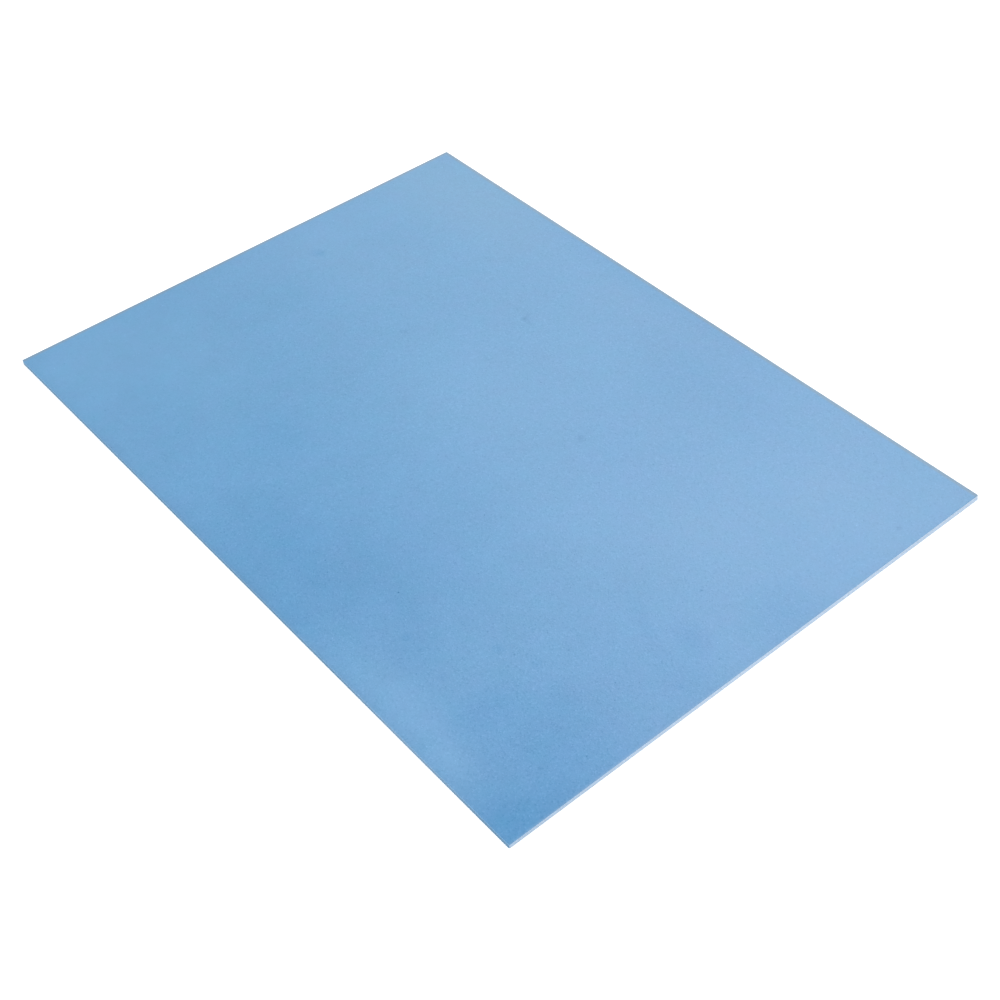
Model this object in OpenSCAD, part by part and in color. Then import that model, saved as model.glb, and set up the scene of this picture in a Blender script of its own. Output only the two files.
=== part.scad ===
// A craft sheet of closed-cell EVA foam, cut from the bun to a standard format and lying flat.
// One piece. The origin is the middle of the underside, X runs along the long side and Z is up.

/* [Sheet] */
// Length of the long side
sheet_length = 297; // [100:1:700]
// Width of the short side
sheet_width = 210; // [70:1:500]
// Thickness from skin to skin
sheet_thickness = 2; // [1:0.5:10]
// Radius of the four corners in plan, as the knife turns them
corner_radius = 0.3; // [0.3:0.1:20]

/* [Cut edge] */
// Radius of the upper skin where the knife draws it down into the cut
rolled_radius = 0.2; // [0.05:0.05:0.25]
// Depth of the hollow that is left in the cut wall when the squeezed foam springs back
wall_hollow = 0.05; // [0.01:0.01:0.1]

/* [Hidden] */
$fn = 96;
// Colour of the foam
foam_blue = [0.49, 0.68, 0.84];
// Height of the hollow wall, from the underside up to the start of the rolled skin
wall_height = sheet_thickness - rolled_radius;
// Radius of the arc that meets both lips of the wall and is wall_hollow deep between them
hollow_radius = (pow(wall_height / 2, 2) + pow(wall_hollow, 2)) / (2 * wall_hollow);
// The waste reaches this far past the lip that it is trimmed from
overcut = 1;

// What the knife takes off a section whose lips stand at x = lip
module edge_waste(lip) {
    translate([lip - wall_hollow + hollow_radius, wall_height / 2])
        circle(r = hollow_radius);
    translate([lip - rolled_radius, wall_height])
        difference() {
            square(rolled_radius + overcut);
            circle(r = rolled_radius);
        }
}

// Section from one cut edge to the opposite one, centred on x = 0
module cut_section(across) {
    difference() {
        translate([-across / 2, 0])
            square([across, sheet_thickness]);
        for (side = [0, 1])
            mirror([side, 0])
                edge_waste(across / 2);
    }
}

// The run of foam between two long edges, up to where the corners begin
module long_run() {
    rotate([90, 0, 90])
        linear_extrude(sheet_length - 2 * corner_radius, center = true)
            cut_section(sheet_width);
}

// The run of foam between two short edges, up to where the corners begin
module short_run() {
    rotate([90, 0, 0])
        linear_extrude(sheet_width - 2 * corner_radius, center = true)
            cut_section(sheet_length);
}

// A quarter turn of the same cut edge about a corner's centre
module corner_turn() {
    rotate_extrude(angle = 90)
        difference() {
            square([corner_radius, sheet_thickness]);
            edge_waste(corner_radius);
        }
}

module foam_sheet() {
    color(foam_blue) {
        long_run();
        short_run();
        for (end = [0, 1], side = [0, 1])
            mirror([end, 0, 0])
                mirror([0, side, 0])
                    translate([sheet_length / 2 - corner_radius, sheet_width / 2 - corner_radius, 0])
                        corner_turn();
    }
}

foam_sheet();
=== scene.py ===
"""The looks of a sheet of blue craft foam that lies flat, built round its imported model.

Sizes are in metres, in the part's own frame: the origin is the middle of the underside, X runs along the
long side, Y along the short side and Z is up.
"""

from __future__ import annotations

import logging
import math
from dataclasses import dataclass
from enum import Enum

import bpy
import numpy as np
from bpy.types import ID, Material, Node, NodeSocket, NodeTree, Object, World
from mathutils import Matrix, Vector


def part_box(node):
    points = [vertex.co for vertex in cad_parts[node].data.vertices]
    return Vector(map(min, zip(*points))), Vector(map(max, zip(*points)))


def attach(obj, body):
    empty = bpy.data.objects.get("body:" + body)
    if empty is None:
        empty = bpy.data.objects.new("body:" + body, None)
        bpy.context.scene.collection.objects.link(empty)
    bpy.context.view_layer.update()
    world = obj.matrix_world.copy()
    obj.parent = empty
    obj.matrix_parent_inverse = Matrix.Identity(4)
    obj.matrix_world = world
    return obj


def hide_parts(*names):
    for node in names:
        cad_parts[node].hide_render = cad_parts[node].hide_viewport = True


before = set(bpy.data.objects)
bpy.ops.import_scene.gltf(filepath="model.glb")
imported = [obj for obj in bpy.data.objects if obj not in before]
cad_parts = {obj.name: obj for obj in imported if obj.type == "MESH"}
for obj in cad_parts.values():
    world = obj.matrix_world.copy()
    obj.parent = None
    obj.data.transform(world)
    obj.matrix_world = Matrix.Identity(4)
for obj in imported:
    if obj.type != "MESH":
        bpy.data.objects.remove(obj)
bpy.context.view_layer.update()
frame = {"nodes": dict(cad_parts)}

log = logging.getLogger("foam_sheet")

MM = 0.001
# Stands for 0 under a fraction line.
TINY = 1e-12
# Name of the mesh attribute for how far the wall is frosted.
FROSTING = "frosting"

Array = np.ndarray
Colour = tuple[float, float, float]
WHITE: Colour = (1.0, 1.0, 1.0)


class Cut(Enum):
    """How a side of the sheet was cut through. The value is how far the wall is frosted, from 0 to 1."""

    SLIT = 0.0
    SAWN = 1.0


def put(name: str, data: ID) -> Object:
    """Puts a new object into the scene.

    Args:
        name: The object's name.
        data: Its mesh, light or camera.

    Returns:
        The new object.
    """
    made = bpy.data.objects.new(name, data)
    bpy.context.scene.collection.objects.link(made)
    return made


class Wiring:
    """Places the nodes of one node tree and joins them.

    Attributes:
        row: How many nodes stand side by side.
        across: Their spacing in a row.
        down: The spacing of the rows.
        first: Number of a Mix node's input for the first colour.
        second: Number of its input for the second colour.
        mixed: Number of its output for the mixed colour.
    """

    row: int = 12
    across: int = 180
    down: int = 260
    first: int = 6
    second: int = 7
    mixed: int = 2

    def __init__(self, tree: NodeTree) -> None:
        """Takes over an empty tree.

        Args:
            tree: The node tree of a material, a world or a node group.
        """
        self.tree = tree
        self.placed = 0

    @classmethod
    def afresh(cls, owner: Material | World) -> Wiring:
        """Gives a new material or world an empty node tree and takes it over.

        Args:
            owner: The material or the world.

        Returns:
            The wiring of its tree.
        """
        owner.use_nodes = True
        owner.node_tree.nodes.clear()
        return cls(owner.node_tree)

    def node(self, kind: str, **settings: object) -> Node:
        """Adds one node.

        Args:
            kind: Blender's name of the node's type.
            settings: Properties of the node, by name.

        Returns:
            The new node.
        """
        made = self.tree.nodes.new(kind)
        rows, column = divmod(self.placed, self.row)
        made.location = (column * self.across, -rows * self.down)
        self.placed += 1
        for name, value in settings.items():
            setattr(made, name, value)
        return made

    def feed(self, node: Node, **values: object) -> Node:
        """Sets or joins a node's inputs. A name's underscores stand for the spaces of the socket's name.

        Args:
            node: The node whose inputs are fed.
            values: For each input, an output to join it to, or its own value.

        Returns:
            The same node.
        """
        for name, value in values.items():
            self.plug(node.inputs[name.replace("_", " ")], value)
        return node

    def group(self, tree: NodeTree, **values: object) -> Node:
        """Places a node group and feeds its inputs.

        Args:
            tree: The group.
            values: For each input, an output to join it to, or its own value.

        Returns:
            The group's node.
        """
        return self.feed(self.node("ShaderNodeGroup", node_tree=tree), **values)

    def plug(self, socket: NodeSocket, value: object) -> None:
        """Joins an output to an input, or sets the input's own value.

        Args:
            socket: The input.
            value: The output, or the value. A colour of three parts is made opaque.
        """
        if isinstance(value, NodeSocket):
            self.tree.links.new(value, socket)
        elif isinstance(value, tuple) and len(value) == 3 and socket.type == "RGBA":
            socket.default_value = (*value, 1.0)
        else:
            socket.default_value = value

    def maths(self, operation: str, *terms: object) -> NodeSocket:
        """Works out one value.

        Args:
            operation: Blender's name of the operation.
            terms: Its terms, each an output or a number.

        Returns:
            The output that holds the result.
        """
        made = self.node("ShaderNodeMath", operation=operation)
        for socket, term in zip(made.inputs, terms):
            self.plug(socket, term)
        return made.outputs[0]

    def rise(self, value: object, start: object, end: object, eased: bool = True) -> NodeSocket:
        """Turns a value into a share that is 0 up to the start of a range and 1 from its end on.

        Args:
            value: The output that is turned into a share.
            start: Where the share leaves 0. It may be above the end.
            end: Where the share reaches 1.
            eased: Whether the share leaves and arrives softly, and not along a straight line.

        Returns:
            The output that holds the share.
        """
        made = self.node("ShaderNodeMapRange", interpolation_type="SMOOTHSTEP" if eased else "LINEAR")
        return self.feed(made, Value=value, From_Min=start, From_Max=end).outputs[0]

    def vector(self, operation: str, *terms: object) -> Node:
        """Works out one vector.

        Args:
            operation: Blender's name of the operation.
            terms: Its terms, each an output or a vector.

        Returns:
            The node, whose outputs are Vector and Value.
        """
        made = self.node("ShaderNodeVectorMath", operation=operation)
        for socket, term in zip(made.inputs, terms):
            self.plug(socket, term)
        return made

    def blend(self, share: object, first: object, second: object) -> NodeSocket:
        """Mixes two colours.

        Args:
            share: How much of the second is in the mix, from 0 to 1.
            first: The colour at 0.
            second: The colour at 1.

        Returns:
            The output that holds the mixed colour.
        """
        made = self.node("ShaderNodeMix", data_type="RGBA", blend_type="MIX", clamp_factor=True)
        self.plug(made.inputs[0], share)
        self.plug(made.inputs[self.first], first)
        self.plug(made.inputs[self.second], second)
        return made.outputs[self.mixed]

    def surface(self, colour: object, roughness: object, height: object, depth: float) -> None:
        """Ends a material with its shader, which has a colour, a roughness and a fine relief.

        Args:
            colour: The output that holds the colour.
            roughness: The roughness, an output or a number.
            height: The output that holds the relief's height, in shares of its depth.
            depth: How deep the relief is.
        """
        bump = self.feed(self.node("ShaderNodeBump"), Height=height, Strength=1.0, Distance=depth)
        shader = self.node("ShaderNodeBsdfPrincipled")
        self.feed(shader, Base_Color=colour, Roughness=roughness, Normal=bump.outputs[0])
        self.feed(self.node("ShaderNodeOutputMaterial"), Surface=shader.outputs[0])


class Effects:
    """The node groups that the finishes share. Each is built once.

    Attributes:
        cell_blur: How softly neighbouring cells meet.
        cell_floor: Distance from a cell's point, in cells, up to which its floor reaches.
        cell_ridge: Distance at which its rim is highest.
        cell_power: Power of a cell's random value.
        speck_power: Power of a speck's random value.
    """

    cell_blur: float = 0.55
    cell_floor: float = 0.15
    cell_ridge: float = 0.75
    cell_power: float = 3.0
    speck_power: float = 5.0

    def __init__(self) -> None:
        """Builds every group."""
        self.cells = self.build_cells()
        self.clouds = self.build_clouds()
        self.specks = self.build_specks()
        self.rub = self.build_rub()
        self.spot = self.build_spot()

    @staticmethod
    def start(
        name: str, vectors: list[str], values: list[str], results: list[str]
    ) -> tuple[Wiring, dict[str, NodeSocket], Node]:
        """Begins a node group.

        Args:
            name: The group's name.
            vectors: Names of its inputs that are vectors.
            values: Names of its inputs that are single values.
            results: Names of its outputs, all single values.

        Returns:
            The wiring, the group's inputs by name, and its output node.
        """
        tree = bpy.data.node_groups.new(name, "ShaderNodeTree")
        for socket in vectors:
            tree.interface.new_socket(socket, in_out="INPUT", socket_type="NodeSocketVector")
        for socket in values:
            tree.interface.new_socket(socket, in_out="INPUT", socket_type="NodeSocketFloat")
        for socket in results:
            tree.interface.new_socket(socket, in_out="OUTPUT", socket_type="NodeSocketFloat")
        wires = Wiring(tree)
        entry = wires.node("NodeGroupInput")
        given = {socket: entry.outputs[socket] for socket in vectors + values}
        return wires, given, wires.node("NodeGroupOutput")

    @staticmethod
    def chance(wires: Wiring, pattern: Node, power: float) -> NodeSocket:
        """Gives each cell of a pattern a random value.

        It is twice the red of the cell's own random colour, less 1, raised to an odd power. So most values
        are near 0 and a few stand out.

        Args:
            wires: The group's wiring.
            pattern: The pattern's node.
            power: The power.

        Returns:
            The output that holds the value, from -1 to 1.
        """
        colour = wires.feed(wires.node("ShaderNodeSeparateColor"), Color=pattern.outputs["Color"])
        return wires.maths("POWER", wires.maths("MULTIPLY_ADD", colour.outputs["Red"], 2.0, -1.0), power)

    def build_cells(self) -> NodeTree:
        """Builds the fine grain of closed cells.

        Each cell is a shallow dimple whose floor is at the nearest of many scattered points. Its height is
        the smoothed distance to that point. Its tone is a random value of its own.

        Returns:
            A group with the outputs Height and Tone. Height runs from 0 to 1, and Tone from -1 to 1.
        """
        wires, given, result = self.start("closed_cells", ["Place"], ["Cell"], ["Height", "Tone"])
        scale = wires.maths("DIVIDE", 1.0, given["Cell"])
        dimple = wires.node("ShaderNodeTexVoronoi", feature="SMOOTH_F1", voronoi_dimensions="3D")
        wires.feed(dimple, Vector=given["Place"], Scale=scale, Smoothness=self.cell_blur, Randomness=1.0)
        patch = wires.node("ShaderNodeTexVoronoi", feature="F1", voronoi_dimensions="3D")
        wires.feed(patch, Vector=given["Place"], Scale=scale, Randomness=1.0)
        height = wires.rise(dimple.outputs["Distance"], self.cell_floor, self.cell_ridge, eased=False)
        wires.feed(result, Height=height, Tone=self.chance(wires, patch, self.cell_power))
        return wires.tree

    def build_clouds(self) -> NodeTree:
        """Builds soft clouds: a sum of smooth noises, each half as wide as the one before.

        Fade is how strong each noise is beside the one before.

        Returns:
            A group whose output Tone is 0 in the mean and mostly between -1 and 1.
        """
        wires, given, result = self.start("soft_clouds", ["Place"], ["Patch", "Detail", "Fade"], ["Tone"])
        noise = wires.node("ShaderNodeTexNoise", noise_dimensions="3D", normalize=False)
        scale = wires.maths("DIVIDE", 1.0, given["Patch"])
        wires.feed(noise, Vector=given["Place"], Scale=scale)
        wires.feed(noise, Detail=given["Detail"], Roughness=given["Fade"])
        wires.feed(result, Tone=noise.outputs[0])
        return wires.tree

    def build_specks(self) -> NodeTree:
        """Builds scattered specks: dark pinholes and pale points.

        One speck lies at each of many scattered points, seen from above. Its tone is a random value of its
        own, and falls softly from the middle of the speck to 0 at its rim.

        Returns:
            A group whose output Tone is below 0 in a pinhole and above 0 in a pale point.
        """
        wires, given, result = self.start("scattered_specks", ["Place"], ["Spacing", "Radius"], ["Tone"])
        scatter = wires.node("ShaderNodeTexVoronoi", feature="F1", voronoi_dimensions="2D")
        scale = wires.maths("DIVIDE", 1.0, given["Spacing"])
        wires.feed(scatter, Vector=given["Place"], Scale=scale, Randomness=1.0)
        strength = self.chance(wires, scatter, self.speck_power)
        rim = wires.maths("MULTIPLY", given["Radius"], scale)
        inside = wires.rise(scatter.outputs["Distance"], rim, 0.0)
        wires.feed(result, Tone=wires.maths("MULTIPLY", inside, strength))
        return wires.tree

    def build_rub(self) -> NodeTree:
        """Builds the line along the two back sides where the skin is rubbed.

        The inset is the smaller of the distances to the short side at -X and the long side at +Y. The mask
        is 1 up to a third of the reach and eases to 0 at the reach.

        Returns:
            A group with the output Mask.
        """
        wires, given, result = self.start("edge_rub", ["Place", "Half"], ["Reach"], ["Mask"])
        far = wires.vector("MULTIPLY_ADD", given["Place"], (1.0, -1.0, 0.0), given["Half"])
        gap = wires.feed(wires.node("ShaderNodeSeparateXYZ"), Vector=far.outputs["Vector"])
        inset = wires.maths("MINIMUM", gap.outputs["X"], gap.outputs["Y"])
        full = wires.maths("DIVIDE", given["Reach"], 3.0)
        wires.feed(result, Mask=wires.rise(inset, given["Reach"], full))
        return wires.tree

    def build_spot(self) -> NodeTree:
        """Builds one soft round or oval spot.

        The place and the spot's centre are both divided by its radii. The mask is 1 less the distance
        between the two, eased at both ends.

        Returns:
            A group whose output Mask is 1 in the middle of the spot and 0 outside it.
        """
        wires, given, result = self.start("soft_spot", ["Place", "Centre", "Radii"], [], ["Mask"])
        place = wires.vector("DIVIDE", given["Place"], given["Radii"]).outputs["Vector"]
        centre = wires.vector("DIVIDE", given["Centre"], given["Radii"]).outputs["Vector"]
        apart = wires.vector("DISTANCE", place, centre).outputs["Value"]
        wires.feed(result, Mask=wires.rise(apart, 1.0, 0.0))
        return wires.tree


@dataclass(frozen=True)
class Mark:
    """A mark on the upper skin.

    Attributes:
        name: What it is.
        x: Place along the long side.
        y: Place along the short side.
        along: Half its length.
        across: Half its width.
        turn: The angle of its length from X, in degrees.
        tone: How much of its own colour the skin gains at its middle.
        bloom: Pale white the skin gains at its middle, a painted sheen; below 0 it is painted shade.
        shade: How much of both the skin gains at its middle, so that all its channels change alike.
        lean: How much more the skin leans to violet at its middle, or to green if below 0.
        calm: How much weaker the cells' grain is at its middle.
        depth: How far the skin is pressed in at its middle.
    """

    name: str
    x: float
    y: float
    along: float
    across: float
    turn: float = 0.0
    tone: float = 0.0
    bloom: float = 0.0
    shade: float = 0.0
    lean: float = 0.0
    calm: float = 0.0
    depth: float = 0.0

    def dent(self, x: Array, y: Array) -> Array:
        """Depth of the dent at each place.

        With the distances along and across the mark as shares of its half length and half width, it is the
        full depth times e to the power of less the sum of their squares.

        Args:
            x: Places along the long side.
            y: Places along the short side.

        Returns:
            The depth at each place.
        """
        turn = math.radians(self.turn)
        ahead = (x - self.x) * math.cos(turn) + (y - self.y) * math.sin(turn)
        aside = (y - self.y) * math.cos(turn) - (x - self.x) * math.sin(turn)
        return self.depth * np.exp(-((ahead / self.along) ** 2) - (aside / self.across) ** 2)


def in_mm(name: str, x: float, y: float, along: float, across: float, **rest: float) -> Mark:
    """Makes a mark from sizes in millimetres.

    Args:
        name: What it is.
        x: Place along the long side.
        y: Place along the short side.
        along: Half its length.
        across: Half its width.
        rest: Its turn, tone, bloom, shade, lean, calm and depth.

    Returns:
        The mark.
    """
    depth = rest.pop("depth", 0.0)
    return Mark(name, x * MM, y * MM, along * MM, across * MM, depth=depth * MM, **rest)


# Most of these paint sheen and shade: paler or duller skin stands in for the softboxes' uneven sheen.
PAINTED_SHEEN_PATCHES = (
    in_mm("dull_front_edge", 21, -84, 62, 31, bloom=-0.029),
    in_mm("dull_front_left", -46, -56, 26, 18, bloom=-0.010),
    in_mm("dull_front_middle", 42, -58, 50, 24, bloom=-0.012),
    in_mm("dull_front_corner", 136, -76, 50, 38, bloom=-0.024),
    in_mm("dull_front_streak", 106, -79, 12, 20, bloom=-0.013),
    in_mm("dull_front_end", 119, -60, 13, 10, bloom=-0.005),
    in_mm("dull_front_spot", 73, -82, 16, 12, bloom=-0.010),
    in_mm("deep_front_tip", 144, -102, 24, 18, bloom=-0.037),
    in_mm("deep_right_tip", 147, -86, 15, 14, bloom=-0.014),
    in_mm("pale_front_strip", 90, -96, 42, 11, bloom=0.013),
    in_mm("pale_strip_end", 115, -99, 14, 9, bloom=0.014),
    in_mm("dull_front_band", 62, -73, 30, 10, bloom=-0.009),
    in_mm("dull_front_rim", 12, -106, 70, 16, bloom=-0.013),
    in_mm("pale_front_low", 22, -77, 17, 12, bloom=0.008, lean=0.2),
    in_mm("dull_rim_spot", 35, -101, 20, 8, bloom=-0.009),
    in_mm("dull_back_edge", 42, 80, 70, 42, bloom=-0.019),
    in_mm("dull_back_rim", 0, 105, 100, 16, bloom=-0.016),
    in_mm("pale_left_end", -140, 30, 36, 110, bloom=0.011),
    in_mm("pale_left_front", -134, -82, 40, 42, bloom=0.016),
    in_mm("pale_left_middle", -106, -50, 40, 26, bloom=0.013),
    in_mm("pale_left_back", -110, 22, 44, 26, bloom=0.009),
    in_mm("pale_middle", -6, 12, 66, 44, bloom=0.012),
    in_mm("pale_right_middle", 62, 0, 50, 42, bloom=0.010),
    in_mm("dull_right_edge", 141, 17, 20, 25, bloom=-0.018),
    in_mm("dull_right_streak", 128, -12, 13, 9, bloom=-0.018, lean=0.8),
    in_mm("pale_right_rim", 120, 66, 40, 24, bloom=0.005),
    in_mm("pale_back_spot", 10, 66, 32, 24, bloom=0.004),
    in_mm("pale_left_spot", -96, 44, 26, 18, bloom=0.005),
    in_mm("pale_left_rim", -148, 80, 18, 24, bloom=0.006),
    in_mm("pale_front_left", -95, -68, 50, 17, bloom=0.005),
    in_mm("dull_right_end", 140, -25, 18, 16, bloom=-0.010),
    # Painted light and shade: less blue at the back corner and deeper blue at the front, as the lamps fall
    # unevenly.
    in_mm("sheen_and_shade_back_corner", -105, 88, 70, 40, tone=-0.06, bloom=0.020),
    in_mm("deep_front", -30, -60, 130, 60, tone=0.035, bloom=-0.010),
    in_mm("drawn_front_edge", 0, -105, 260, 5, tone=-0.04),
    in_mm("drawn_right_edge", 148, 0, 5, 180, tone=-0.03),
    # Two thin rim lines: darker along the front edge, and paler along the right edge beside the cut wall.
    in_mm("darker_front_rim", 0, -105, 260, 1.3, tone=-0.10, bloom=0.009),
    in_mm("paler_right_rim_line", 148.5, -40, 1.1, 260, tone=-0.08, bloom=0.045),
    # These three patches only calm or coarsen the cells' grain.
    in_mm("calm_left_corner", -130, -80, 110, 80, calm=0.55),
    in_mm("calm_left_end", -148, 40, 70, 110, calm=0.3),
    in_mm("coarse_front_corner", 118, -64, 90, 60, calm=-0.2),
)
# Patches of hue; their white share (bloom) is painted sheen, and painted shade below 0.
HUE_PATCHES = (
    in_mm("green_back_corner", -124, 100, 66, 52, tone=-0.014, bloom=0.009, lean=-0.7),
    in_mm("violet_back_tip", -148, 104, 16, 14, lean=1.4),
    in_mm("violet_middle_low", 40, -49, 38, 13, lean=0.7),
    in_mm("green_right_corner", 146, 98, 50, 56, tone=-0.013, bloom=0.009, lean=-0.5),
    in_mm("clear_middle", -26, 2, 76, 36, tone=0.018, bloom=-0.004, lean=-0.25),
    in_mm("milky_left_front", -68, -58, 40, 28, tone=-0.02, bloom=0.007, lean=-0.2),
    in_mm("clear_right_middle", 54, 28, 42, 40, tone=0.015, bloom=-0.005, lean=0.45),
    in_mm("clear_right_front", 136, -54, 56, 50, tone=0.004, bloom=-0.005, lean=0.4),
    in_mm("clear_left_tip", -146, -90, 28, 42, tone=0.027, bloom=-0.0055, lean=0.1),
    in_mm("milky_front_left", -98, -86, 26, 24, tone=-0.01, bloom=0.004),
    in_mm("clear_front_left", -28, -102, 46, 30, tone=0.016, bloom=-0.007, lean=0.25),
    in_mm("violet_front", 26, -74, 56, 36, tone=-0.012, bloom=0.0045, lean=0.25),
    in_mm("green_front_strip", 90, -104, 50, 22, tone=-0.005, bloom=0.004, lean=-0.35),
    in_mm("violet_left_end", -148, 10, 36, 66, lean=0.4),
    in_mm("milky_back", 8, 98, 90, 38, tone=-0.022, bloom=0.006, lean=0.2),
    in_mm("green_back_middle", -12, 54, 56, 24, tone=0.004, bloom=0.002, lean=-0.25),
    in_mm("green_middle_front", -26, -24, 36, 18, tone=0.006, lean=-0.2),
    in_mm("pale_right_back", 98, 22, 28, 32, bloom=0.007),
    in_mm("dull_middle_front", 42, -28, 40, 26, bloom=-0.003),
    in_mm("dull_right_front", 124, -32, 30, 24, bloom=-0.003),
    in_mm("dull_front_tip", 148, -96, 20, 26, tone=0.003, bloom=-0.006),
)
# Painted shade along three faint creases, which have no relief of their own.
PAINTED_CREASE_SHADE = (
    in_mm("long_crease", 113, -19, 28, 5, turn=-23, bloom=-0.008),
    in_mm("middle_crease", 62, 47, 24, 4, turn=55, bloom=-0.005),
    in_mm("back_crease", 60, 80, 20, 4, turn=128, bloom=-0.005),
)
# In the nick and the dents the darkening is partly painted shade; their real hollows are 0.015 to 0.02 mm
# deep.
SMALL_MARKS = (
    in_mm("nail_nick", -33.3, 53.5, 1.9, 1.5, turn=-30, shade=-0.080, depth=0.02),
    in_mm("nail_halo", -32.6, 54.4, 4.6, 4.0, shade=-0.034),
    in_mm("nail_arm", -34.0, 55.6, 3.0, 1.1, turn=110, shade=-0.035),
    in_mm("nail_tail", -30.0, 53.2, 3.6, 1.1, turn=-5, shade=-0.030),
    in_mm("nail_point", -40.4, 55.7, 1.3, 1.1, shade=-0.040),
    in_mm("left_smudge", -125.8, 19.4, 5.2, 4.4, turn=25, bloom=-0.022),
    in_mm("left_smudge_middle", -124.8, 21.0, 1.7, 1.4, shade=-0.048),
    in_mm("middle_blotch", 33.7, 23.9, 3.0, 2.8, shade=-0.062),
    in_mm("front_dent", 89.7, -60.9, 3.5, 3.2, bloom=-0.016, shade=-0.008, depth=0.02),
    in_mm("front_dent_right", 102.6, -55.9, 3.3, 3.0, bloom=-0.010, shade=-0.012, depth=0.02),
    in_mm("edge_dent_left", 66.0, -79.4, 2.8, 2.6, bloom=-0.014, depth=0.015),
    in_mm("edge_dent_right", 86.7, -81.2, 2.8, 2.6, bloom=-0.012, depth=0.015),
    in_mm("right_dent", 139.7, -28.4, 2.4, 2.2, bloom=-0.012, shade=-0.010, depth=0.015),
    in_mm("back_dent", 140.3, 73.1, 1.6, 1.5, shade=-0.095, depth=0.015),
    in_mm("left_dent", -60.1, 14.4, 3.0, 2.8, shade=-0.038, depth=0.015),
    in_mm("black_speck", 48.7, -69.8, 0.55, 0.5, shade=-0.23),
    in_mm("middle_speck", 61.3, 33.8, 0.6, 0.5, shade=-0.18),
    in_mm("front_speck", 81.8, -58.7, 0.55, 0.5, shade=-0.17),
    in_mm("front_speck_right", 95.0, -58.5, 0.55, 0.5, shade=-0.15),
    in_mm("front_speck_left", 10.7, -61.7, 0.65, 0.55, shade=-0.14),
    in_mm("right_speck", 115.6, 4.3, 0.85, 0.75, bloom=-0.012, shade=-0.15),
)


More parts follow.
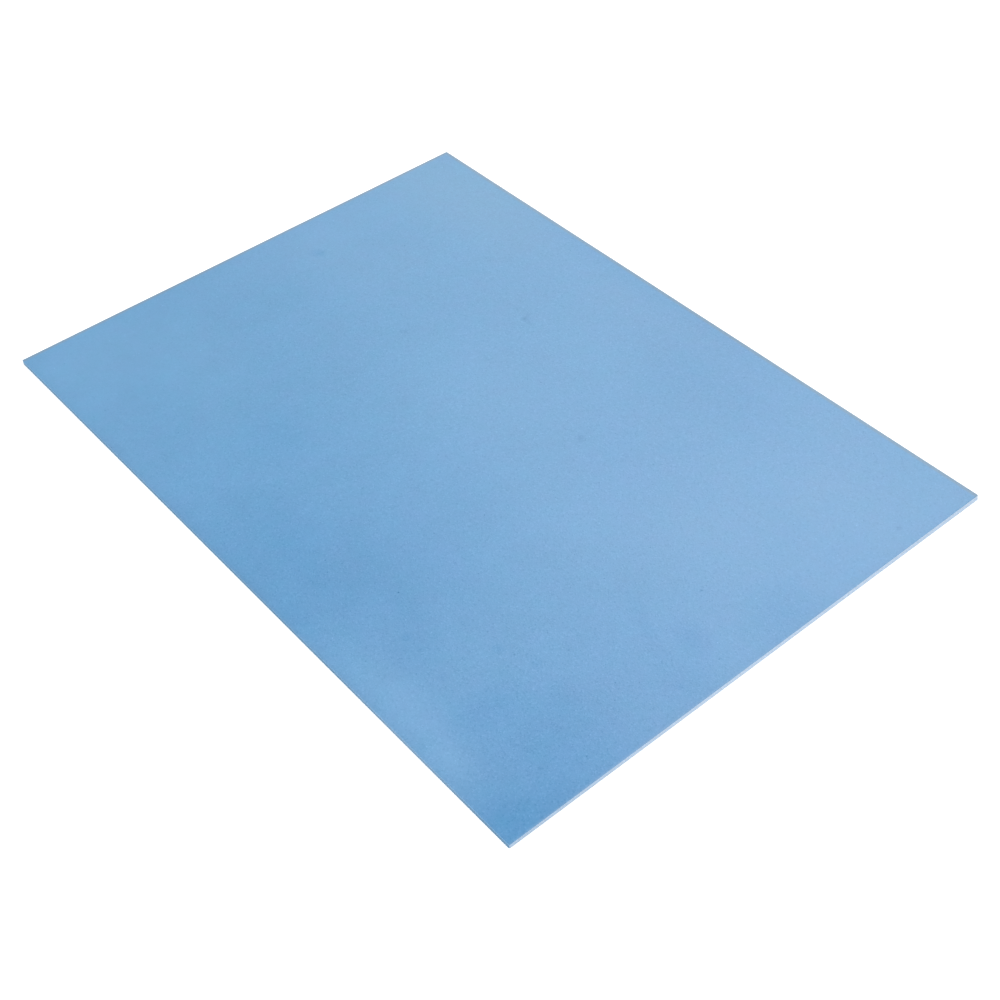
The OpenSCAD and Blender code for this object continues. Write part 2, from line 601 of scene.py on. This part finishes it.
@dataclass(frozen=True)
class SkinFinish:
    """The closed skin on both faces: satin blue with a fine cell grain, soft clouds, specks and marks.

    Attributes:
        half: Half the sheet's length and width, and 0.
        top: Height of the upper skin.
        blue: Its mean colour.
        green_lean: Factors of the blue where it leans most to green.
        violet_lean: Factors of the blue where it leans most to violet.
        rubbed: Its colour along the two rubbed sides.
        rub_reach: How far the rub reaches in from them.
        roughness: Its mean roughness.
        gloss_change: How much the roughness changes from patch to patch.
        cell: Size of one cell.
        cell_shade: How much the shade changes from cell to cell.
        cell_depth: Depth of one cell's dimple.
        cloud: Size of the widest clouds.
        cloud_detail: How many times finer clouds are added.
        cloud_fade: How strong each is beside the one before.
        cloud_tone: How much the clouds change the tone.
        lean_patch: Size of the patches of either lean.
        lean_detail: How many times finer patches are added.
        lean_fade: How strong each is beside the one before.
        lean_full: The lean at which the colour is fully violet, or fully green if below 0.
        lean_drift: How much more the end at +X leans to violet than the middle.
        speck_spacing: Distance between specks.
        speck_radius: Radius of a speck.
        speck_shade: How much the strongest speck changes the shade.
        painted_sheen_share: Painted sheen brought by one whole share of shade; darker cells and marks lose
            it.
        marks: The marks on the upper skin.
    """

    half: tuple[float, float, float]
    top: float
    blue: Colour = (0.1038, 0.2676, 0.4715)
    green_lean: Colour = (0.90, 1.025, 0.985)
    violet_lean: Colour = (1.10, 0.975, 1.015)
    rubbed: Colour = (0.146, 0.247, 0.355)
    rub_reach: float = 2.1 * MM
    roughness: float = 0.4
    gloss_change: float = 0.02
    cell: float = 0.5 * MM
    cell_shade: float = 0.057
    cell_depth: float = 0.014 * MM
    cloud: float = 40 * MM
    cloud_detail: float = 6.0
    cloud_fade: float = 0.85
    cloud_tone: float = 0.026
    lean_patch: float = 7 * MM
    lean_detail: float = 1.0
    lean_fade: float = 0.5
    lean_full: float = 2.0
    lean_drift: float = 0.6
    speck_spacing: float = 5 * MM
    speck_radius: float = 0.38 * MM
    speck_shade: float = 0.22
    painted_sheen_share: float = 0.2
    marks: tuple[Mark, ...] = ()

    def spot(self, wires: Wiring, effects: Effects, place: object, mark: Mark) -> NodeSocket:
        """Places one mark's spot. It ends halfway down the sheet, so the underside keeps free of it.

        Args:
            wires: The material's wiring.
            effects: The shared node groups.
            place: The output that holds the place on the sheet.
            mark: The mark.

        Returns:
            The output that holds the spot's mask.
        """
        centre = (mark.x, mark.y, self.top)
        if mark.turn:
            turned = wires.node("ShaderNodeVectorRotate", rotation_type="Z_AXIS", invert=True)
            wires.feed(turned, Vector=place, Center=centre, Angle=math.radians(mark.turn))
            place = turned.outputs["Vector"]
        radii = (mark.along, mark.across, self.top / 2)
        return wires.group(effects.spot, Place=place, Centre=centre, Radii=radii).outputs["Mask"]

    def build(self, effects: Effects) -> Material:
        """Makes the material.

        The blue leans to green or violet in patches and is mixed with the rubbed colour along two sides. It
        is multiplied by a tone, which is 1 plus the share of each effect, and painted sheen is added: pale
        white that stands in for the softboxes' sheen, or painted shade where it is below 0. Shade, as of
        cells, specks and small marks, counts to the tone and, times its share, to the painted sheen.

        Args:
            effects: The shared node groups.

        Returns:
            The skin's material.
        """
        material = bpy.data.materials.new("foam_skin")
        wires = Wiring.afresh(material)
        place = wires.node("ShaderNodeTexCoord").outputs["Object"]
        cells = wires.group(effects.cells, Place=place, Cell=self.cell).outputs
        clouds = wires.group(
            effects.clouds, Place=place, Patch=self.cloud, Detail=self.cloud_detail, Fade=self.cloud_fade
        ).outputs["Tone"]
        lean = wires.group(
            effects.clouds, Place=place, Patch=self.lean_patch, Detail=self.lean_detail, Fade=self.lean_fade
        ).outputs["Tone"]
        specks = wires.group(
            effects.specks, Place=place, Spacing=self.speck_spacing, Radius=self.speck_radius
        ).outputs["Tone"]
        rub = wires.group(effects.rub, Place=place, Half=self.half, Reach=self.rub_reach).outputs["Mask"]

        tone = wires.maths("MULTIPLY_ADD", clouds, self.cloud_tone, 1.0)
        shade = wires.maths("MULTIPLY", specks, self.speck_shade)
        bloom = 0.0
        grain = self.cell_shade
        for mark in self.marks:
            spot = self.spot(wires, effects, place, mark)
            if mark.tone:
                tone = wires.maths("MULTIPLY_ADD", spot, mark.tone, tone)
            # Painted sheen: pale white is added where a mark paints sheen, and taken away where it paints
            # shade.
            if mark.bloom:
                bloom = wires.maths("MULTIPLY_ADD", spot, mark.bloom, bloom)
            if mark.lean:
                lean = wires.maths("MULTIPLY_ADD", spot, mark.lean, lean)
            if mark.shade:
                shade = wires.maths("MULTIPLY_ADD", spot, mark.shade, shade)
            if mark.calm:
                grain = wires.maths("MULTIPLY_ADD", spot, -mark.calm * self.cell_shade, grain)
        shade = wires.maths("MULTIPLY_ADD", cells["Tone"], grain, shade)
        tone = wires.maths("ADD", tone, shade)
        # Darker cells, specks and marks also lose painted sheen with their shade.
        bloom = wires.maths("MULTIPLY_ADD", shade, self.painted_sheen_share, bloom)

        east = wires.feed(wires.node("ShaderNodeSeparateXYZ"), Vector=place).outputs["X"]
        lean = wires.maths("MULTIPLY_ADD", east, self.lean_drift / self.half[0], lean)
        violet = wires.rise(lean, -self.lean_full, self.lean_full, eased=False)
        green_blue = tuple(np.multiply(self.blue, self.green_lean))
        violet_blue = tuple(np.multiply(self.blue, self.violet_lean))
        colour = wires.blend(rub, wires.blend(violet, green_blue, violet_blue), self.rubbed)
        colour = wires.vector("MULTIPLY_ADD", colour, tone, bloom).outputs["Vector"]
        roughness = wires.maths("MULTIPLY_ADD", clouds, self.gloss_change, self.roughness)
        height = wires.maths("ADD", cells["Height"], specks)
        wires.surface(colour, roughness, height, self.cell_depth)
        return material


@dataclass(frozen=True)
class CutFinish:
    """The cut wall: a deeper blue where it was slit, and frosted by torn cells where it was sawn.

    Attributes:
        blue: Its colour under the skin where it was slit.
        foot: The slit wall's colour at its foot, a painted contact shade.
        foot_low: Height up to which the foot's colour is full.
        foot_high: Height at which it ends.
        frost: Its colour where it was sawn.
        roughness: Its roughness.
        cell: Size of one opened cell.
        cell_tone: How much the tone changes from cell to cell.
        cell_depth: Depth of one opened cell.
    """

    blue: Colour = (0.085, 0.215, 0.370)
    foot: Colour = (0.057, 0.164, 0.274)
    foot_low: float = 0.8 * MM
    foot_high: float = 1.9 * MM
    frost: Colour = (0.364, 0.464, 0.59)
    roughness: float = 0.65
    cell: float = 0.3 * MM
    cell_tone: float = 0.18
    cell_depth: float = 0.04 * MM

    def build(self, effects: Effects) -> Material:
        """Makes the material.

        Where the wall was slit, its blue turns into the foot's colour further down, a painted contact shade
        towards the floor. The mesh's attribute mixes that with the frost, and each cell's own tone
        multiplies both.

        Args:
            effects: The shared node groups.

        Returns:
            The wall's material.
        """
        material = bpy.data.materials.new("foam_cut")
        wires = Wiring.afresh(material)
        place = wires.node("ShaderNodeTexCoord").outputs["Object"]
        frosting = wires.node("ShaderNodeAttribute", attribute_name=FROSTING).outputs["Fac"]
        cells = wires.group(effects.cells, Place=place, Cell=self.cell).outputs
        tone = wires.maths("MULTIPLY_ADD", cells["Tone"], self.cell_tone, 1.0)
        height = wires.feed(wires.node("ShaderNodeSeparateXYZ"), Vector=place).outputs["Z"]
        # Painted contact shade: the slit wall darkens towards its foot.
        slit = wires.blend(wires.rise(height, self.foot_high, self.foot_low), self.blue, self.foot)
        colour = wires.vector("MULTIPLY", wires.blend(frosting, slit, self.frost), tone).outputs["Vector"]
        wires.surface(colour, self.roughness, cells["Height"], self.cell_depth)
        return material


@dataclass
class FoamSheet:
    """The one piece of the object: a closed shell of two skins and the cut wall between them.

    Attributes:
        low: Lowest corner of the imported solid.
        high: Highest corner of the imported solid.
        name: Name of the piece and of its mesh.
        corner_radius: Radius of the four corners in plan.
        rolled_radius: Radius of the upper skin where it is drawn down into the cut.
        wall_hollow: Depth of the hollow in the cut wall.
        top_trim: How far the wall at +X leans in at its top, at its back end.
        foot_trim: How far the wall at +X leans in at its foot, at its front end.
        trim_run: Over what distance from that wall the skins are drawn in with it.
        pitch: Spacing of the grid's lines away from the edges.
        roll_steps: Number of faces round the rolled skin.
        wall_steps: Number of faces down the cut wall.
        long_sides: How the two long sides were cut.
        short_sides: How the two short sides were cut.
        thinning: How much weaker the short sides' frosting is at their front ends.
        thinning_run: How far from there it is weaker.
        torn: How far the long sides are frosted where the blade tore them most.
        torn_place: Where along the long sides that is.
        torn_run: Over what distance from there it fades.
        sag: How far the upper skin dips where the foam is thinnest.
        sag_wave: Length of the waves in its thickness.
        sag_waves: Steepness along X and along Y, and phase, of each of two crossing waves.
        sharp: Angle in degrees from which on the edge of two faces is shaded as sharp.
        marks: The marks on the upper skin, of which some are dents.
    """

    low: Vector
    high: Vector
    name: str = "blue_foam_sheet"
    corner_radius: float = 0.3 * MM
    rolled_radius: float = 0.2 * MM
    wall_hollow: float = 0.05 * MM
    top_trim: float = 0.32 * MM
    foot_trim: float = 0.12 * MM
    trim_run: float = 10 * MM
    pitch: float = 1.3 * MM
    roll_steps: int = 5
    wall_steps: int = 6
    long_sides: Cut = Cut.SLIT
    short_sides: Cut = Cut.SAWN
    thinning: float = 0.21
    thinning_run: float = 84 * MM
    torn: float = 0.16
    torn_place: float = 100 * MM
    torn_run: float = 28 * MM
    sag: float = 0.06 * MM
    sag_wave: float = 85 * MM
    sag_waves: tuple[tuple[float, float, float], ...] = ((0.92, 0.39, 0.8), (-0.55, 0.71, -1.1))
    sharp: float = 40.0
    marks: tuple[Mark, ...] = ()

    @property
    def length(self) -> float:
        """Length of the long side."""
        return self.high.x - self.low.x

    @property
    def width(self) -> float:
        """Width of the short side."""
        return self.high.y - self.low.y

    def lines(self, full: float) -> Array:
        """Places of the grid's lines across the sheet.

        They are evenly spaced between the corners' centres. Past those, they stand at equal turns of the
        rolled skin, so their distance from the start of the roll is its radius times the sine of the turn.

        Args:
            full: The sheet's whole size in this direction.

        Returns:
            The places, from the one edge to the other.
        """
        turn = np.linspace(0.0, math.pi / 2, self.roll_steps + 1)
        rolled = full / 2 - self.rolled_radius + self.rolled_radius * np.sin(turn)
        straight = full / 2 - self.corner_radius
        inner = np.linspace(-straight, straight, round(2 * straight / self.pitch) + 1)
        return np.concatenate([-rolled[::-1], inner, rolled])

    def plan(self, u: Array, v: Array) -> tuple[Array, Array, Array, Array]:
        """Rounds the corners of a rectangular grid.

        How far a place lies past the corner's centre in each direction is a and b. Where both are above
        0, the square ring of half width max(a, b) becomes the round ring of that radius: a and b are
        multiplied by max(a, b) over the distance from the corner's centre.

        Args:
            u: Places along the long side, before rounding.
            v: Places along the short side, before rounding.

        Returns:
            x and y after rounding, the inset from the outline, and the unit vectors that point outwards.
        """
        grid = np.stack([u, v])
        half = np.array([self.length / 2, self.width / 2]).reshape(2, 1, 1)
        past = np.abs(grid) - half + self.corner_radius
        outward = np.maximum(past, 0.0)
        ring = past.max(0)
        far = np.maximum(np.hypot(*outward), TINY)
        shrink = np.where(outward.min(0) > 0.0, ring / far, 1.0)
        signs = np.sign(grid)
        centre = half - self.corner_radius
        rounded = np.where(outward > 0.0, signs * (centre + outward * shrink), grid)
        return rounded[0], rounded[1], self.corner_radius - ring, signs * outward / far

    def skin_height(self, x: Array, y: Array, inset: Array) -> Array:
        """Height of the upper skin.

        It is the sheet's full height, less the sag, every mark's dent and the drop of the roll. The sag
        goes with the product of two crossing cosine waves. The drop is the roll's radius minus the square
        root of the radius squared less (the radius less the inset) squared.

        Args:
            x: Places along the long side.
            y: Places along the short side.
            inset: Distance inwards from the outline.

        Returns:
            The height at each place.
        """
        phase = 2 * math.pi / self.sag_wave
        waves = math.prod(
            np.cos(phase * (along * x + across * y) + lag) for along, across, lag in self.sag_waves
        )
        dents = sum((mark.dent(x, y) for mark in self.marks), np.zeros_like(x))
        left = np.clip(self.rolled_radius - inset, 0.0, self.rolled_radius)
        drop = self.rolled_radius - np.sqrt(self.rolled_radius**2 - left**2)
        return self.high.z - self.sag * (0.5 + 0.5 * waves) - dents - drop

    def frosting(self, x: Array, y: Array, facing: Array) -> Array:
        """How far the wall is frosted at each place of the outline.

        Each kind of side counts by the square of how far the wall faces its way. The short sides' frosting
        falls in proportion to the distance towards their front ends. The long sides' is raised by a bell
        curve of the distance from the torn place.

        Args:
            x: Places along the long side.
            y: Places along the short side.
            facing: Unit vectors that point outwards.

        Returns:
            The share at each place, from 0 to 1.
        """
        thinned = 1 - self.thinning * np.clip(1 - (y - self.low.y) / self.thinning_run, 0.0, 1.0)
        torn = self.torn * np.exp(-(((x - self.torn_place) / self.torn_run) ** 2))
        short, long = facing[:, 0] ** 2, facing[:, 1] ** 2
        return short * self.short_sides.value * thinned + long * (self.long_sides.value + torn)

    def build(self) -> Object:
        """Makes the closed mesh.

        Both skins are grids over the same lines. The saw ran a little askew at +X, so there the upper skin
        is drawn in towards the back and the lower skin towards the front, in proportion to y. The wall is a
        set of rings between their outlines. With w the share of the way down, a ring lies at 4 w (1 - w)
        times the hollow's depth inside the outline.

        Returns:
            The new piece, with no finish yet.
        """
        u, v = np.meshgrid(self.lines(self.length), self.lines(self.width), indexing="ij")
        x, y, inset, facing = self.plan(u, v)
        near = np.clip(1 - (self.high.x - x) / self.trim_run, 0.0, 1.0)
        back = (y - self.low.y) / self.width
        top_x = x - near * back * self.top_trim
        foot_x = x - near * (1 - back) * self.foot_trim
        upper = np.stack([top_x, y, self.skin_height(x, y, inset)], -1).reshape(-1, 3)
        lower = np.stack([foot_x, y, np.full_like(x, self.low.z)], -1).reshape(-1, 3)

        number = np.arange(u.size).reshape(u.shape)
        outline = np.concatenate([number[:, 0], number[-1, 1:], number[-2::-1, -1], number[0, -2:0:-1]])
        facing = facing.reshape(2, -1)[:, outline].T
        down = np.linspace(0.0, 1.0, self.wall_steps + 1)[1:-1, None, None]
        inward = -4 * down * (1 - down) * self.wall_hollow * np.pad(facing, ((0, 0), (0, 1)))
        rings = upper[outline] * (1 - down) + lower[outline] * down + inward

        corners = [number[:-1, :-1], number[1:, :-1], number[1:, 1:], number[:-1, 1:]]
        cells = np.stack(corners, -1).reshape(-1, 4)
        first_lower = len(upper) + rings[..., 0].size
        between = len(upper) + np.arange(rings[..., 0].size).reshape(rings.shape[:2])
        loops = np.concatenate([outline[None], between, first_lower + outline[None]])
        after = np.roll(loops, -1, axis=1)
        wall = np.stack([loops[:-1], loops[1:], after[1:], after[:-1]], -1).reshape(-1, 4)
        faces = np.concatenate([cells, wall, first_lower + cells[:, ::-1]])
        is_wall = np.repeat([0, 1, 0], [len(cells), len(wall), len(cells)])
        points = np.concatenate([upper, rings.reshape(-1, 3), lower])

        frosting = np.zeros(len(points))
        frosting[loops] = self.frosting(x.ravel()[outline], y.ravel()[outline], facing)
        return self.mesh_of(points, faces, is_wall, frosting)

    def mesh_of(self, points: Array, faces: Array, finish: Array, frosting: Array) -> Object:
        """Puts whole arrays into a new mesh.

        Args:
            points: One place a vertex.
            faces: Four vertex numbers a face, counterclockwise seen from outside.
            finish: The material's number for each face.
            frosting: How far each vertex is frosted.

        Returns:
            The new object.
        """
        mesh = bpy.data.meshes.new(self.name)
        mesh.vertices.add(len(points))
        mesh.vertices.foreach_set("co", points.astype(np.float32).ravel())
        mesh.loops.add(faces.size)
        mesh.loops.foreach_set("vertex_index", faces.astype(np.int32).ravel())
        mesh.polygons.add(len(faces))
        mesh.polygons.foreach_set("loop_start", np.arange(0, faces.size, 4, dtype=np.int32))
        mesh.polygons.foreach_set("material_index", finish.astype(np.int32))
        mesh.update(calc_edges=True)
        shares = mesh.attributes.new(FROSTING, "FLOAT", "POINT")
        shares.data.foreach_set("value", frosting.astype(np.float32))
        mesh.shade_smooth()
        mesh.set_sharp_from_angle(angle=math.radians(self.sharp))
        mesh.validate()
        return put(self.name, mesh)

    def dress(self, piece: Object, skin: Material, cut: Material) -> None:
        """Gives the piece its finishes and its place in the frame.

        Args:
            piece: The sheet's object.
            skin: The material of both faces.
            cut: The material of the wall.
        """
        piece.data.materials.append(skin)
        piece.data.materials.append(cut)
        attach(piece, "root")
        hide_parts("foam_sheet")


@dataclass(frozen=True)
class Softbox:
    """A soft rectangular studio light that faces the middle of the sheet.

    Attributes:
        name: Its name.
        around: The direction in which it stands, counterclockwise from X, in degrees.
        above: How high it stands over the table, in degrees.
        power: Its power in watts.
        away: Its distance from the middle of the sheet.
        size: Its width and height.
    """

    name: str
    around: float
    above: float
    power: float
    away: float = 0.8
    size: tuple[float, float] = (0.45, 0.3)

    def build(self) -> Object:
        """Places the light.

        Returns:
            The light's object.
        """
        data = bpy.data.lights.new(self.name, "AREA")
        data.shape = "RECTANGLE"
        data.size, data.size_y = self.size
        data.energy = self.power
        around, above = math.radians(self.around), math.radians(self.above)
        place = self.away * Vector(
            (math.cos(above) * math.cos(around), math.cos(above) * math.sin(around), math.sin(above))
        )
        made = put(self.name, data)
        made.location = place
        made.rotation_euler = (-place).to_track_quat("-Z", "Y").to_euler()
        return made


@dataclass(frozen=True)
class PhotoCamera:
    """The camera of the photograph, worked out from the sheet's four corners.

    Attributes:
        place: Where it stands.
        aim: Where its axis meets the table.
        roll: How far it is turned about its axis, in degrees.
        focal: Its focal length in pixels of the frame.
        frame: Width of the frame in pixels.
        axis_x: The column of the frame in which its axis lies.
        sensor: Width of the sensor in millimetres.
        nearest: Distance from which on it sees things.
        farthest: Distance up to which it sees them.
    """

    place: tuple[float, float, float] = (0.36483, -0.25567, 0.40118)
    aim: tuple[float, float, float] = (0.04685, -0.00502, 0.0)
    roll: float = -3.245
    focal: float = 1630.5
    frame: int = 1000
    axis_x: float = 544.0
    sensor: float = 36.0
    nearest: float = 0.01
    farthest: float = 50.0

    def build(self) -> Object:
        """Places the camera and makes it the scene's.

        Returns:
            The camera's object.
        """
        data = bpy.data.cameras.new("camera")
        data.sensor_width = self.sensor
        data.lens = self.sensor * self.focal / self.frame
        data.shift_x = 0.5 - self.axis_x / self.frame
        data.clip_start = self.nearest
        data.clip_end = self.farthest
        straight = (Vector(self.aim) - Vector(self.place)).to_track_quat("-Z", "Y").to_matrix().to_4x4()
        rolled = Matrix.Rotation(math.radians(self.roll), 4, "Z")
        made = put("camera", data)
        made.matrix_world = Matrix.Translation(self.place) @ straight @ rolled
        bpy.context.scene.camera = made
        return made


@dataclass(frozen=True)
class PaleFloor:
    """A plain pale floor under the sheet.

    Attributes:
        half: Half its width.
        below: How far its surface lies below the sheet's underside.
        tone: Its colour.
        glow: How much light it gives by itself, as a lit table does.
    """

    half: float = 6.0
    below: float = 0.02 * MM
    tone: Colour = (0.9, 0.9, 0.9)
    glow: float = 0.28

    def build(self) -> Object:
        """Makes the floor, one flat square.

        Returns:
            The floor's object.
        """
        u, v = np.meshgrid([-self.half, self.half], [-self.half, self.half], indexing="ij")
        points = np.stack([u, v, np.full_like(u, -self.below)], -1).reshape(-1, 3)
        mesh = bpy.data.meshes.new("floor")
        mesh.from_pydata(points.tolist(), [], [(0, 2, 3, 1)])
        made = put("floor", mesh)
        material = bpy.data.materials.new("pale_floor")
        wires = Wiring.afresh(material)
        paper = wires.feed(wires.node("ShaderNodeBsdfDiffuse"), Color=self.tone)
        light = wires.feed(wires.node("ShaderNodeEmission"), Color=WHITE, Strength=self.glow)
        both = wires.node("ShaderNodeAddShader")
        wires.plug(both.inputs[0], paper.outputs[0])
        wires.plug(both.inputs[1], light.outputs[0])
        wires.feed(wires.node("ShaderNodeOutputMaterial"), Surface=both.outputs[0])
        mesh.materials.append(material)
        return made


@dataclass(frozen=True)
class Studio:
    """Everything round the sheet: floor, even surrounding light, softboxes and camera.

    Attributes:
        surround: How bright the surroundings are as a light.
        backdrop: How bright they look themselves, which is as bright as the lit floor.
        floor: The floor.
        camera: The camera.
        softboxes: The lights.
    """

    surround: float = 0.8
    backdrop: float = 1.0
    floor: PaleFloor = PaleFloor()
    camera: PhotoCamera = PhotoCamera()
    softboxes: tuple[Softbox, ...] = (
        Softbox("softbox_behind", 105, 50, 1.594),
        Softbox("softbox_behind_left", 135, 35, 0.714),
        Softbox("softbox_front", -90, 25, 2.81),
        Softbox("softbox_right", 0, 25, 1.683),
    )

    def build(self) -> None:
        """Places everything and sets the plain view of colours."""
        scene = bpy.context.scene
        scene.view_settings.view_transform = "Standard"
        scene.view_settings.look = "None"
        world = bpy.data.worlds.new("surround")
        wires = Wiring.afresh(world)
        seen = wires.node("ShaderNodeLightPath").outputs["Is Camera Ray"]
        strength = wires.maths("MULTIPLY_ADD", seen, self.backdrop - self.surround, self.surround)
        glow = wires.feed(wires.node("ShaderNodeBackground"), Color=WHITE, Strength=strength)
        wires.feed(wires.node("ShaderNodeOutputWorld"), Surface=glow.outputs[0])
        scene.world = world
        self.floor.build()
        for softbox in self.softboxes:
            softbox.build()
        self.camera.build()


def main() -> None:
    """Builds the sheet and the studio, and reports each piece."""
    logging.basicConfig(level=logging.INFO, format="%(name)s: %(message)s")
    effects = Effects()
    marks = PAINTED_SHEEN_PATCHES + HUE_PATCHES + PAINTED_CREASE_SHADE + SMALL_MARKS
    sheet = FoamSheet(*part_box("foam_sheet"), marks=marks)
    piece = sheet.build()
    skin = SkinFinish(half=(sheet.length / 2, sheet.width / 2, 0.0), top=sheet.high.z, marks=marks)
    sheet.dress(piece, skin.build(effects), CutFinish().build(effects))
    log.info("%s has %d faces", piece.name, len(piece.data.polygons))
    Studio().build()


if __name__ == "__main__":
    main()
